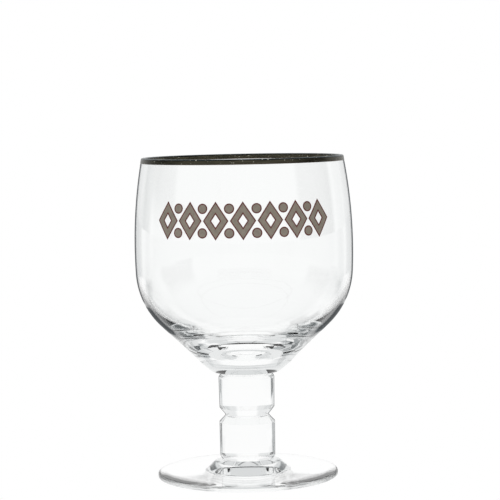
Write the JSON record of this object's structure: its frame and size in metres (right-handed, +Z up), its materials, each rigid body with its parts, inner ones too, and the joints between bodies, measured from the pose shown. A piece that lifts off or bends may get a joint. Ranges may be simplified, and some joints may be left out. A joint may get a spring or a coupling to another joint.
{
  "type": "chalice beer glass",
  "caption": "Clear glass beer chalice: dished bowl with a dark metal rim band and a printed lozenge frieze, a ringed collar, stacked drum knops with a bevelled waist, and a round foot.",
  "frame": {"origin": "centre of the foot's underside, on the surface that the glass stands on", "axes": "+Z up along the glass's axis, -Y towards the printed front, +X to the right seen from the front"},
  "size_m": [0.102, 0.102, 0.1499],
  "materials": {
    "clear_glass": "polished clear",
    "rim_metal": "dark fired lustre, fine grain",
    "print_taupe": "fired enamel, satin",
    "print_red": "fired enamel, satin"
  },
  "bodies": {
    "root": {"foot": "clear_glass", "lower_knop": "clear_glass", "upper_knop": "clear_glass", "collar": "clear_glass", "bowl": "clear_glass", "rim_band": "rim_metal", "frieze_fill": "print_taupe", "frieze_outline": "print_red"}
  },
  "joints": []
}
